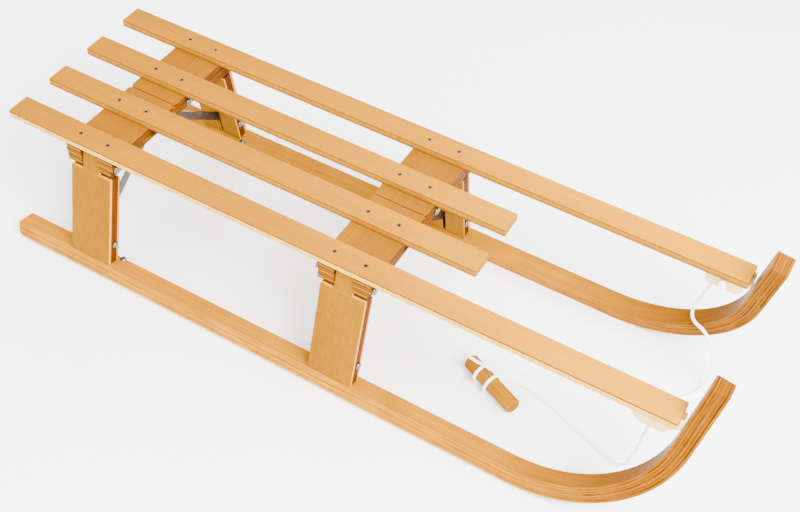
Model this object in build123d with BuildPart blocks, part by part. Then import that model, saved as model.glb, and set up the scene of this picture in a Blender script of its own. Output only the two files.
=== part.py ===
from build123d import *
import os
from math import sin, cos, tan, radians, pi, sqrt, atan2, degrees

# Wooden toboggan: four plywood slats on two two-part cross beams, four splayed
# plywood legs on bent laminated runners, crossed flat steel stays under each beam.
# +X is the direction of travel, +Y the left side, +Z up. The origin is at ground
# level under the middle of the sledge. Lengths in millimetres.

# ---------------------------------------------------------------- dimensions
LENGTH = 1102.4          # overall, slat rear ends to runner tips
X0 = -LENGTH / 2         # rear end of the slats

LEAN = 12.5              # lean of legs and runners, degrees, feet outward
CL, SL = cos(radians(LEAN)), sin(radians(LEAN))

SLAT_T = 11.0
SLAT_W = 40.0
SLAT_PITCH = 89.0
SLAT_TOP = 235.0
SLAT_OUTER_L = 1060.0
SLAT_INNER_L = 740.0
SLAT_R = 2.0             # corner radius in plan

BEAM_T = 22.0
BEAM_W = 85.0
BEAM_HALF = 151.5        # reach of each half beam from the middle
BEAM_TOP = SLAT_TOP - SLAT_T
BEAM_BOT = BEAM_TOP - BEAM_T
BEAM_X = {"rear": X0 + 148.0, "front": X0 + 586.0}
SCREW_DX = (-26.0, 23.5)

BLOCK_T = 14.0           # hinge block under each beam end
BLOCK_IN = 108.0

RUN_W = 30.5             # runner section, across
RUN_T = 25.5             # runner section, high
RUN_IN = 164.7           # inner bottom edge from the middle
RUN_X0 = X0 + 4.4
RUN_XA = X0 + 873.5      # start of the bend
RUN_R = 216.0            # radius of the running face
RUN_ANG = 82.0
RUN_END = 108.0          # straight length after the bend

LEG_W = 72.0
LEG_T = 23.0
LEG_H = 157.0            # runner to shoulder
LEG_INSET = 1.5
TONGUE_W = 29.5
TONGUE_R = 18.5
SLOT_W = 7.6             # slot in the foot for the stay
SLOT_H = 56.0
SLOT_D = 18.5

HINGE_Y, HINGE_Z = 142.0, 204.0
BOLT_R = 3.0
FIT = 0.05               # radial running clearance

STAY_W = 14.0
STAY_T = 3.0
STAY_Y, STAY_Z = 32.0, 209.0     # upper stay bolt, on the opposite half beam
SLIDE_END = 75.5                 # upper stay bolt with the legs swung in
ANCHOR_Y, ANCHOR_Z = 86.0, 207.0
ANCHOR_L = 44.0

os.makedirs("parts", exist_ok=True)
volumes = {}


def save(p, label):
    p.part.label = label
    export_step(p.part, f"parts/{label}.step")
    volumes[label] = p.part.volume


# ---------------------------------------------------------------- side frames
# The right-hand (-Y) side is drawn, the left-hand side is its mirror image.
RUN_O = Vector(0, -(RUN_IN + RUN_W * CL), RUN_W * SL)   # outer bottom edge of the runner
UP = Vector(0, SL, CL)
IN = Vector(0, CL, -SL)
OUT = IN * -1
runner_plane = Plane(origin=RUN_O, x_dir=(1, 0, 0), z_dir=OUT)
LEG_O = RUN_O + UP * RUN_T + IN * LEG_INSET             # outer bottom edge of a leg
leg_plane = Plane(origin=LEG_O, x_dir=(1, 0, 0), z_dir=OUT)
leg_inner_plane = Plane(origin=LEG_O + IN * LEG_T, x_dir=(1, 0, 0), z_dir=OUT)

PIN = LEG_O + UP * 33.0 + IN * 13.8                     # foot bolt, carries the stay
PIN_Y, PIN_Z = -PIN.Y, PIN.Z


def yz(x):
    # profile plane across the sledge: local x is +Y, local y is +Z
    return Plane(origin=(x, 0, 0), x_dir=(0, 1, 0), z_dir=(1, 0, 0))


# ---------------------------------------------------------------- runners
a = radians(RUN_ANG)
r_in = RUN_R - RUN_T
cx, cz = RUN_XA, RUN_R
for side in ("right", "left"):
    with BuildPart() as runner:
        with BuildSketch(runner_plane):
            with BuildLine():
                Line((RUN_X0, RUN_T), (RUN_X0, 9))
                ThreePointArc((RUN_X0, 9), (RUN_X0 + 9 - 9 * cos(radians(45)), 9 - 9 * sin(radians(45))), (RUN_X0 + 9, 0))
                Line((RUN_X0 + 9, 0), (RUN_XA, 0))
                ThreePointArc((RUN_XA, 0),
                              (cx + RUN_R * sin(a / 2), cz - RUN_R * cos(a / 2)),
                              (cx + RUN_R * sin(a), cz - RUN_R * cos(a)))
                Line((cx + RUN_R * sin(a), cz - RUN_R * cos(a)),
                     (cx + RUN_R * sin(a) + RUN_END * cos(a), cz - RUN_R * cos(a) + RUN_END * sin(a)))
                Line((cx + RUN_R * sin(a) + RUN_END * cos(a), cz - RUN_R * cos(a) + RUN_END * sin(a)),
                     (cx + r_in * sin(a) + RUN_END * cos(a), cz - r_in * cos(a) + RUN_END * sin(a)))
                Line((cx + r_in * sin(a) + RUN_END * cos(a), cz - r_in * cos(a) + RUN_END * sin(a)),
                     (cx + r_in * sin(a), cz - r_in * cos(a)))
                ThreePointArc((cx + r_in * sin(a), cz - r_in * cos(a)),
                              (cx + r_in * sin(a / 2), cz - r_in * cos(a / 2)),
                              (RUN_XA, RUN_T))
                Line((RUN_XA, RUN_T), (RUN_X0, RUN_T))
            make_face()
        extrude(amount=-RUN_W)
        if side == "left":
            mirror(about=Plane.XZ, mode=Mode.REPLACE)
    save(runner, f"runner_{side}")

# ---------------------------------------------------------------- slats
for label, row, length in (("slat_outer_right", -1.5, SLAT_OUTER_L), ("slat_inner_right", -0.5, SLAT_INNER_L),
                           ("slat_inner_left", 0.5, SLAT_INNER_L), ("slat_outer_left", 1.5, SLAT_OUTER_L)):
    with BuildPart() as slat:
        with BuildSketch(Plane.XY.offset(BEAM_TOP)):
            with Locations((X0 + length / 2, row * SLAT_PITCH)):
                RectangleRounded(length, SLAT_W, SLAT_R)
        extrude(amount=SLAT_T)
        chamfer(slat.faces().sort_by(Axis.Z)[-1].edges(), length=0.6)
        # countersunk screw holes over each beam
        with BuildSketch(Plane.XY.offset(BEAM_TOP)):
            with Locations(*[(BEAM_X[e] + d, row * SLAT_PITCH) for e in BEAM_X for d in SCREW_DX]):
                Circle(2.0)
        extrude(amount=SLAT_T, mode=Mode.SUBTRACT)
        for e in BEAM_X:
            for d in SCREW_DX:
                with BuildSketch(Plane.XY.offset(SLAT_TOP)):
                    with Locations((BEAM_X[e] + d, row * SLAT_PITCH)):
                        Circle(4.0)
                with BuildSketch(Plane.XY.offset(SLAT_TOP - 2.5)):
                    with Locations((BEAM_X[e] + d, row * SLAT_PITCH)):
                        Circle(2.0)
                loft(mode=Mode.SUBTRACT)
    save(slat, label)

    # the four countersunk screws of this slat
    with BuildPart() as screws:
        for e in BEAM_X:
            for d in SCREW_DX:
                with BuildSketch(yz(BEAM_X[e] + d).offset(0)):
                    with BuildLine():
                        y = row * SLAT_PITCH
                        zt = SLAT_TOP - 0.3
                        Polyline((y, zt - 1.0), (y + 1.0, zt), (y + 3.76, zt), (y + 2.0, zt - 2.2),
                                 (y + 2.0, zt - 17.5), (y, zt - 19.5), (y, zt - 1.0))
                    make_face()
                revolve(axis=Axis((BEAM_X[e] + d, y, 0), (0, 0, 1)))
    save(screws, label.replace("slat", "screws"))

# ---------------------------------------------------------------- beams
for end, xc in BEAM_X.items():
    for side in ("right", "left"):
        with BuildPart() as beam:
            with BuildSketch(Plane.XY.offset(BEAM_BOT)) as plan:
                with Locations((xc, -BEAM_HALF / 2)):
                    Rectangle(BEAM_W, BEAM_HALF)
                fillet(plan.vertices().group_by(Axis.Y)[-1], radius=7)
                fillet(plan.vertices().group_by(Axis.Y)[0], radius=2)
                # mouth for the leg's tongue
                with Locations((xc, -(BEAM_HALF + 121.5) / 2 - 1)):
                    Rectangle(TONGUE_W + 2.1, BEAM_HALF - 121.5 + 2, mode=Mode.SUBTRACT)
            extrude(amount=BEAM_T)
            # groove under the beam in which the stays' upper ends run
            with BuildSketch(Plane.XY.offset(BEAM_BOT)):
                with Locations((xc, -47.0)):
                    Rectangle(8.6, 76.0)
            extrude(amount=15.2, mode=Mode.SUBTRACT)
            # slot for the sliding stay bolt, right through the beam
            with BuildSketch(yz(xc - BEAM_W)):
                with BuildLine():
                    h = 4.6
                    Polyline((-STAY_Y + h, STAY_Z - h), (-STAY_Y + h, STAY_Z + h),
                             (-SLIDE_END - h, STAY_Z + h), (-SLIDE_END - h, STAY_Z - h), (-STAY_Y + h, STAY_Z - h))
                make_face()
                fillet(vertices(), radius=4.0)
            extrude(amount=2 * BEAM_W, mode=Mode.SUBTRACT)
            with BuildSketch(yz(xc - BEAM_W)):
                with Locations((-HINGE_Y, HINGE_Z)):
                    Circle(BOLT_R + FIT)
            extrude(amount=2 * BEAM_W, mode=Mode.SUBTRACT)
            # blind hole for the anchor screw, from the rear face
            with BuildSketch(yz(xc - BEAM_W / 2 - 1)):
                with Locations((-ANCHOR_Y, ANCHOR_Z)):
                    Circle(BOLT_R)
            extrude(amount=ANCHOR_L + 3, mode=Mode.SUBTRACT)
            # screw holes for the two slats on this half
            with BuildSketch(Plane.XY.offset(BEAM_TOP - 11)):
                with Locations(*[(xc + d, -r * SLAT_PITCH) for d in SCREW_DX for r in (0.5, 1.5)]):
                    Circle(2.0)
            extrude(amount=11, mode=Mode.SUBTRACT)
            # the two half beams key into each other at the middle
            if side == "right":
                with BuildSketch(Plane.XY.offset(BEAM_BOT + 7)):
                    with Locations((xc - 23, 10), (xc + 23, 10)):
                        Rectangle(20, 22)
                extrude(amount=8)
            else:
                with BuildSketch(Plane.XY.offset(BEAM_BOT + 7)):
                    with Locations((xc - 23, -11), (xc + 23, -11)):
                        Rectangle(20, 22)
                extrude(amount=8, mode=Mode.SUBTRACT)
                mirror(about=Plane.XZ, mode=Mode.REPLACE)
        save(beam, f"beam_{end}_{side}")

        with BuildPart() as block:
            with BuildSketch(Plane.XY.offset(BEAM_BOT - BLOCK_T)) as plan:
                with Locations((xc - 2, -(BLOCK_IN + BEAM_HALF) / 2)):
                    Rectangle(BEAM_W - 6, BEAM_HALF - BLOCK_IN)
                with Locations((xc, -(BEAM_HALF + 121.5) / 2 - 1)):
                    Rectangle(TONGUE_W + 2.1, BEAM_HALF - 121.5 + 2, mode=Mode.SUBTRACT)
            extrude(amount=BLOCK_T)
            # outer lower edge rounded
            fillet(block.edges().filter_by(Axis.X).filter_by(
                lambda e: abs(e.center().Y + BEAM_HALF) < 0.5 and abs(e.center().Z - (BEAM_BOT - BLOCK_T)) < 0.5), radius=4)
            with BuildSketch(yz(xc - BEAM_W)):
                with Locations((-HINGE_Y, HINGE_Z)):
                    Circle(BOLT_R + FIT)
            extrude(amount=2 * BEAM_W, mode=Mode.SUBTRACT)
            if side == "left":
                mirror(about=Plane.XZ, mode=Mode.REPLACE)
        save(block, f"hinge_block_{end}_{side}")

        # ------------------------------------------------------------ legs
        h_rel = Vector(0, -HINGE_Y, HINGE_Z) - LEG_O
        zeta_h = h_rel.dot(UP)
        p = lambda zeta, d: ((LEG_O + UP * zeta + IN * d).Y, (LEG_O + UP * zeta + IN * d).Z)
        with BuildPart() as leg:
            with BuildSketch(leg_plane):
                with Locations((xc, LEG_H / 2)):
                    Rectangle(LEG_W, LEG_H)
            extrude(amount=-LEG_T)
            # shoulders, rounded on the inner side
            fillet(leg.edges().filter_by(Axis.X).group_by(Axis.Y)[-1], radius=6)
            fillet(leg.edges().filter_by(Axis.X).group_by(Axis.Z)[-1], radius=1)
            # tongue up between the beam's two knuckles, round about the hinge bolt
            with BuildSketch(yz(xc - TONGUE_W / 2)):
                with BuildLine():
                    Polyline(p(LEG_H - 12, 0.4), p(zeta_h + 30, 0.4), p(zeta_h + 30, LEG_T), p(LEG_H - 12, LEG_T), p(LEG_H - 12, 0.4))
                make_face()
                with Locations((-HINGE_Y, HINGE_Z)):
                    Circle(TONGUE_R, mode=Mode.INTERSECT)
                with BuildLine():
                    Polyline(p(LEG_H - 12, 0.4), p(zeta_h, 0.4), p(zeta_h, LEG_T), p(LEG_H - 12, LEG_T), p(LEG_H - 12, 0.4))
                make_face()
            extrude(amount=TONGUE_W)
            # blind slot in the foot, open inward and down to the runner
            with BuildSketch(leg_inner_plane):
                with Locations((xc, SLOT_H / 2 - 1)):
                    Rectangle(SLOT_W, SLOT_H + 2)
            extrude(amount=SLOT_D, mode=Mode.SUBTRACT)
            with BuildSketch(yz(xc - LEG_W)):
                with Locations((-HINGE_Y, HINGE_Z), (-PIN_Y, PIN_Z)):
                    Circle(BOLT_R + FIT)
            extrude(amount=2 * LEG_W, mode=Mode.SUBTRACT)
            if side == "left":
                mirror(about=Plane.XZ, mode=Mode.REPLACE)
        save(leg, f"leg_{end}_{side}")

        # ------------------------------------------------------------ bolts
        sy = -1 if side == "right" else 1

        def bolt(y, z, x_a, x_b, head_r, head_h, nut_r, nut_h, dome, label):
            # shank along X from x_a to x_b, head at the front end, nut at the rear end
            with BuildPart() as b:
                with BuildSketch(yz(x_a)):
                    with Locations((y, z)):
                        Circle(BOLT_R)
                extrude(amount=x_b - x_a)
                with BuildSketch(yz(x_b)):
                    with Locations((y, z)):
                        Circle(head_r)
                extrude(amount=head_h)
                fillet(b.faces().sort_by(Axis.X)[-1].edges(), radius=head_h * dome)
                with BuildSketch(yz(x_a - nut_h)):
                    with Locations((y, z)):
                        RegularPolygon(nut_r, 6)
                extrude(amount=nut_h)
            save(b, label)

        bolt(sy * HINGE_Y, HINGE_Z, xc - BEAM_W / 2 - 0.3, xc + BEAM_W / 2 + 0.3, 7.0, 3.6, 6.0, 5.0, 0.8, f"hinge_bolt_{end}_{side}")
        # hex-head screw driven into the half beam from the rear
        with BuildPart() as anchor:
            with BuildSketch(yz(xc - BEAM_W / 2 - 0.3)):
                with Locations((sy * ANCHOR_Y, ANCHOR_Z)):
                    Circle(BOLT_R)
            extrude(amount=ANCHOR_L)
            with BuildSketch(yz(xc - BEAM_W / 2 - 5.8)):
                with Locations((sy * ANCHOR_Y, ANCHOR_Z)):
                    RegularPolygon(6.0, 6)
            extrude(amount=5.5)
        save(anchor, f"anchor_bolt_{end}_{side}")
        bolt(sy * PIN_Y, PIN_Z, xc - LEG_W / 2 - 0.3, xc + LEG_W / 2 + 0.3, 6.0, 3.8, 5.5, 5.0, 0.85, f"foot_bolt_{end}_{side}")
        # the stays cross: the upper bolt of a right-hand stay rides in the left half beam
        bolt(-sy * STAY_Y, STAY_Z, xc - BEAM_W / 2 - 0.5, xc + BEAM_W / 2 + 0.5, 6.2, 3.4, 6.2, 5.0, 0.8, f"stay_bolt_{end}_{side}")

        # ------------------------------------------------------------ stay
        off = 0.4 if side == "right" else -STAY_T - 0.4
        dy, dz = STAY_Y + PIN_Y, STAY_Z - PIN_Z
        ln = sqrt(dy * dy + dz * dz)
        with BuildPart() as stay:
            with BuildSketch(yz(xc + off)):
                with Locations(Location(((STAY_Y - PIN_Y) / 2, (STAY_Z + PIN_Z) / 2), degrees(atan2(dz, dy)))):
                    SlotCenterToCenter(ln, STAY_W)
                with Locations((-PIN_Y, PIN_Z)):
                    Circle(BOLT_R + FIT, mode=Mode.SUBTRACT)
                with Locations((STAY_Y, STAY_Z)):
                    Circle(BOLT_R, mode=Mode.SUBTRACT)
            extrude(amount=STAY_T)
            if side == "left":
                mirror(about=Plane.XZ, mode=Mode.REPLACE)
        save(stay, f"stay_{end}_{side}")

# ---------------------------------------------------------------- clips
# moulded clip under the front end of each outer slat: a wedge with a cord eye, and a
# stop that reaches past the slat's end towards the runner's upright end
CLIP_X0, CLIP_X1 = X0 + 1001.0, X0 + 1053.0
CLIP_Y0, CLIP_Y1 = 121.0, 146.0
CLIP_Z0 = 198.0
EYE_X, EYE_Z = CLIP_X0 + 27, 212.0
STOP_X0, STOP_X1 = X0 + SLAT_OUTER_L + 0.2, X0 + SLAT_OUTER_L + 4.2
for side in ("right", "left"):
    with BuildPart() as clip:
        with BuildSketch(Plane.XZ.offset(CLIP_Y0)):
            with BuildLine():
                if side == "right":
                    Polyline((CLIP_X0, BEAM_TOP), (CLIP_X0 + 1, CLIP_Z0 + 12), (CLIP_X0 + 5, CLIP_Z0 + 5.5), (CLIP_X0 + 13, CLIP_Z0 + 1.2),
                             (CLIP_X0 + 28, CLIP_Z0), (CLIP_X0 + 43, CLIP_Z0), (CLIP_X0 + 47, CLIP_Z0 + 2.4), (CLIP_X0 + 49, CLIP_Z0 + 8),
                             (CLIP_X1, CLIP_Z0 + 11), (CLIP_X1 + 4, BEAM_TOP - 9), (STOP_X1, BEAM_TOP - 7), (STOP_X1, BEAM_TOP),
                             (CLIP_X0, BEAM_TOP))
                else:
                    Polyline((CLIP_X0, BEAM_TOP), (CLIP_X0, CLIP_Z0 + 10), (CLIP_X0 + 5, CLIP_Z0 + 2), (CLIP_X0 + 20, CLIP_Z0 + 1.5),
                             (CLIP_X0 + 23, CLIP_Z0 + 7.5), (CLIP_X0 + 30, CLIP_Z0 + 7.5), (CLIP_X0 + 33, CLIP_Z0),
                             (CLIP_X1 - 5, CLIP_Z0), (CLIP_X1, CLIP_Z0 + 6), (CLIP_X1, BEAM_TOP - 8),
                             (STOP_X1, BEAM_TOP - 7), (STOP_X1, BEAM_TOP), (CLIP_X0, BEAM_TOP))
            make_face()
        extrude(amount=CLIP_Y1 - CLIP_Y0)
        fillet(clip.edges().filter_by(Axis.Z), radius=1.2)
        # stop in front of the slat's end
        with BuildSketch(Plane.XY.offset(BEAM_TOP - 3)):
            with Locations(((STOP_X0 + STOP_X1) / 2, -CLIP_Y1 + 3.6)):
                Rectangle(STOP_X1 - STOP_X0, 4.8)
        extrude(amount=10.5)
        if side == "left":
            # cord eye, right through along Y
            with BuildSketch(Plane.XZ.offset(CLIP_Y0 - 5)):
                with Locations((EYE_X, EYE_Z)):
                    Circle(3.2)
            extrude(amount=CLIP_Y1 - CLIP_Y0 + 10, mode=Mode.SUBTRACT)
            mirror(about=Plane.XZ, mode=Mode.REPLACE)
        else:
            # slot for the cord from the inner face, then a pocket for its knot; both
            # are open at the top, so the knotted cord drops in before the slat goes on
            with BuildSketch(Plane.XZ.offset(CLIP_Y0 - 1)):
                with Locations((EYE_X, EYE_Z)):
                    Circle(3.2)
                with Locations((EYE_X, (EYE_Z + BEAM_TOP + 1) / 2)):
                    Rectangle(6.4, BEAM_TOP + 1 - EYE_Z)
            extrude(amount=14, mode=Mode.SUBTRACT)
            with BuildSketch(Plane.XZ.offset(CLIP_Y0 + 12)):
                with Locations((EYE_X, EYE_Z)):
                    Circle(6.5)
                with Locations((EYE_X, (EYE_Z + BEAM_TOP + 1) / 2)):
                    Rectangle(13, BEAM_TOP + 1 - EYE_Z)
            extrude(amount=10.4, mode=Mode.SUBTRACT)
    save(clip, f"clip_{side}")

# ---------------------------------------------------------------- tow rope
# A 5 mm braided rope, knotted through both clips, lying on the ground and hitched
# round a short turned handle. It passes over the left runner on its way.
ROPE_D = 5.0
GROUND = 2.6             # height of the rope's centre line where it lies on the ground

HANDLE_D = 24.0
HANDLE_L = 102.0
HANDLE_A = Vector(190.7, -41.1, 17.2)    # middle of the rear end face
HANDLE_DIR = Vector(0.9111, -0.4122, 0)
HANDLE_N = Vector(0.4122, 0.9111, 0)
WRAP_AT = (28.0, 49.0)   # the two turns of the hitch, from the rear end

handle_plane = Plane(origin=HANDLE_A, x_dir=(0, 0, 1), z_dir=HANDLE_DIR)
with BuildPart() as handle:
    with BuildSketch(handle_plane):
        Circle(HANDLE_D / 2)
    extrude(amount=HANDLE_L)
    chamfer(handle.edges().filter_by(GeomType.CIRCLE), length=2.5)
save(handle, "tow_handle")

with BuildPart() as hitch:
    for s in WRAP_AT:
        with BuildSketch(Plane(origin=HANDLE_A + HANDLE_DIR * (s - ROPE_D / 2), x_dir=(0, 0, 1), z_dir=HANDLE_DIR)):
            Circle(HANDLE_D / 2 + ROPE_D)
            Circle(HANDLE_D / 2, mode=Mode.SUBTRACT)
        extrude(amount=ROPE_D)
save(hitch, "rope_hitch")

for side in ("right", "left"):
    # stopper knot and the rope's end through the clip's eye; the knot sits in the
    # pocket of the right clip and on the inner face of the left clip
    y_knot, y_out = (-CLIP_Y0 - 12.2, -CLIP_Y0) if side == "right" else (CLIP_Y0, CLIP_Y1)
    with BuildPart() as knot:
        with BuildSketch(Plane(origin=(EYE_X, y_knot, EYE_Z), x_dir=(1, 0, 0), z_dir=(0, -1, 0))):
            Circle(6.2)
        extrude(amount=10)
        fillet(knot.edges().filter_by(GeomType.CIRCLE), radius=4.0)
        with BuildSketch(Plane(origin=(EYE_X, y_knot, EYE_Z), x_dir=(1, 0, 0), z_dir=(0, 1, 0))):
            Circle(ROPE_D / 2)
        extrude(amount=abs(y_out - y_knot) - 0.4)
    save(knot, f"rope_knot_{side}")

ring_1 = HANDLE_A + HANDLE_DIR * WRAP_AT[0] + HANDLE_N * 12.8
ring_2 = HANDLE_A + HANDLE_DIR * WRAP_AT[1] + HANDLE_N * 12.8
ROUTES = {
    # from the left clip down to the runner
    "rope_left_upper": [
        (476.8, 146.0, 212.0), (476.8, 157.5, 210.6), (475.5, 167.2, 202.2), (470.5, 174.6, 187.0), (464.0, 178.8, 165.0),
        (457.0, 180.3, 141.0), (451.0, 178.0, 118.0), (447.5, 171.5, 103.0)],
    # over the left runner, down inside it and back along the ground to the handle
    "rope_left_lower": [
        (447.45, 171.4, 102.8), (445.1, 167.05, 92.8), (448.5, 158.0, 86.0), (454.0, 148.5, 86.5), (462.5, 140.5, 90.0),
        (473.0, 135.5, 90.5), (484.0, 132.3, 82.5), (494.5, 129.8, 67.5), (502.8, 126.0, 49.5), (507.3, 119.5, 30.5),
        (506.5, 109.0, 14.0), (500.5, 96.0, 4.8), (489.5, 81.0, GROUND + 0.2), (474.0, 66.0, GROUND),
        (453.5, 53.0, GROUND), (428.0, 42.5, GROUND), (398.0, 34.0, GROUND), (364.0, 25.5, GROUND), (329.0, 14.5, GROUND),
        (295.5, 0.0, GROUND), (265.0, -11.0, GROUND), (241.0, -18.5, GROUND), (227.5, -28.5, GROUND),
        (ring_1.X, ring_1.Y, GROUND)],
    # from the handle along the ground and up to the right clip
    "rope_right": [
        (ring_2.X, ring_2.Y, GROUND), (246.5, -40.5, GROUND), (256.5, -33.0, GROUND), (271.0, -30.0, GROUND),
        (291.0, -32.0, GROUND), (316.0, -38.5, GROUND), (346.0, -48.5, GROUND), (379.0, -60.5, GROUND),
        (411.0, -72.5, GROUND), (436.0, -81.5, GROUND + 0.6), (452.5, -87.0, 10.0), (460.5, -89.8, 26.0),
        (464.0, -91.3, 50.0), (466.5, -92.4, 80.0), (468.7, -93.4, 112.0), (470.8, -94.6, 144.0), (472.6, -95.9, 169.0),
        (474.0, -97.6, 186.0), (475.4, -100.8, 200.8), (476.3, -109.2, 210.2), (476.8, -121.0, 212.0)],
}


def rope(label):
    pts = [Vector(*q) for q in ROUTES[label]]
    radii = []
    for i in range(1, len(pts) - 1):
        u, w = pts[i] - pts[i - 1], pts[i + 1] - pts[i]
        turn = radians(u.get_angle(w))
        radii.append(0.45 * min(u.length, w.length) / tan(turn / 2))
    with BuildPart() as tube:
        with BuildLine() as path:
            FilletPolyline(*pts, radius=radii)
        with BuildSketch(Plane(origin=pts[0], z_dir=pts[1] - pts[0])):
            Circle(ROPE_D / 2)
        sweep()
    save(tube, label)
    length = path.wires()[0].length
    print(f"{label}: length {length:.1f}, least radius {min(radii):.1f}, volume / (section x length) "
          f"{tube.part.volume / (pi * ROPE_D ** 2 / 4 * length):.4f}")
    print("   radii " + " ".join(f"{r:.0f}" for r in radii))
    return length


total = sum(rope(k) for k in ROUTES)
print(f"rope in all, without knots and hitch: {total:.0f}")

for k, v in volumes.items():
    print(f"{k:28s} {v / 1000:9.2f} cm3")
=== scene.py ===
import math
import random

import bmesh
import bpy
from mathutils import Matrix, Vector


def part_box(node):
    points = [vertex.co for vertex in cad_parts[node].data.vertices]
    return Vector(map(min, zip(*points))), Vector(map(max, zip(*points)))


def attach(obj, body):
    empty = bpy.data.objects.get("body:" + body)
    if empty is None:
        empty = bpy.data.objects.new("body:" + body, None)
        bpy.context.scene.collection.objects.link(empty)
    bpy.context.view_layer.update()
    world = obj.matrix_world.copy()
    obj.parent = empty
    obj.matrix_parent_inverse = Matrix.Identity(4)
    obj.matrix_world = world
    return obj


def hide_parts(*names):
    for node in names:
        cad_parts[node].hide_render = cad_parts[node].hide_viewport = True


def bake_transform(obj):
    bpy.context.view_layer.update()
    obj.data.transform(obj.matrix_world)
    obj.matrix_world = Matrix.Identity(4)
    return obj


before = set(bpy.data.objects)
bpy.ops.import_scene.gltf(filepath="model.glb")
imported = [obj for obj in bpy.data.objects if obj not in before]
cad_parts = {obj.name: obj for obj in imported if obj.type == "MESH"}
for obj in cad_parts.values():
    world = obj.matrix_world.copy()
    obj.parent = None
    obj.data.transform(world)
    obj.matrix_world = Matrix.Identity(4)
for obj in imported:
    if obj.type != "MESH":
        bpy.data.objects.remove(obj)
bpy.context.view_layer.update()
scene = bpy.context.scene
random.seed(7)

# ------------------------------------------------------------------ camera
# solved view: rows are the camera's right, down and forward axes in the row frame
R = ((0.8610859918852232, 0.5069913397800409, 0.03860953207538942),
     (0.39687112475964514, -0.6227012822021225, -0.6743414739402037),
     (-0.31784308221362256, 0.5959890053783471, -0.737409574495119))
cam_data = bpy.data.cameras.new("camera")
cam = bpy.data.objects.new("camera", cam_data)
scene.collection.objects.link(cam)
cam_data.sensor_fit = "HORIZONTAL"
cam_data.sensor_width = 36.0
cam_data.lens = 1184.4426 * 36 / 800
cam_data.shift_x = (400 - 377.4249) / 800
cam_data.shift_y = (254.7844 - 256) / 800
cam_data.clip_start, cam_data.clip_end = 0.05, 50
m = Matrix(((R[0][0], -R[1][0], -R[2][0], 0.5688432),
            (R[0][1], -R[1][1], -R[2][1], -1.0603528),
            (R[0][2], -R[1][2], -R[2][2], 1.4126647),
            (0, 0, 0, 1)))
cam.matrix_world = m
scene.camera = cam

# ------------------------------------------------------------------ sizes, metres
CLEAN = math.radians(12.5)
CL, SL = math.cos(CLEAN), math.sin(CLEAN)
X0 = -0.5512
RUN_Y, RUN_Z = 0.0, 0.0          # set from the runner's box below
rlo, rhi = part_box("runner_left")
RUN_Y = rhi[1]                   # |Y| of the runner's outer bottom edge
RUN_Z = 0.0305 * SL
RUN_XA, RUN_R, RUN_T = X0 + 0.8735, 0.216, 0.0255
LEG_Y = RUN_Y - 0.0255 * SL - 0.0015 * CL
LEG_Z = RUN_Z + 0.0255 * CL - 0.0015 * SL


def srgb(r, g, b):
    out = []
    for c in (r, g, b):
        c = c / 255
        out.append(c / 12.92 if c <= 0.04045 else ((c + 0.055) / 1.055) ** 2.4)
    return (*out, 1.0)


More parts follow.
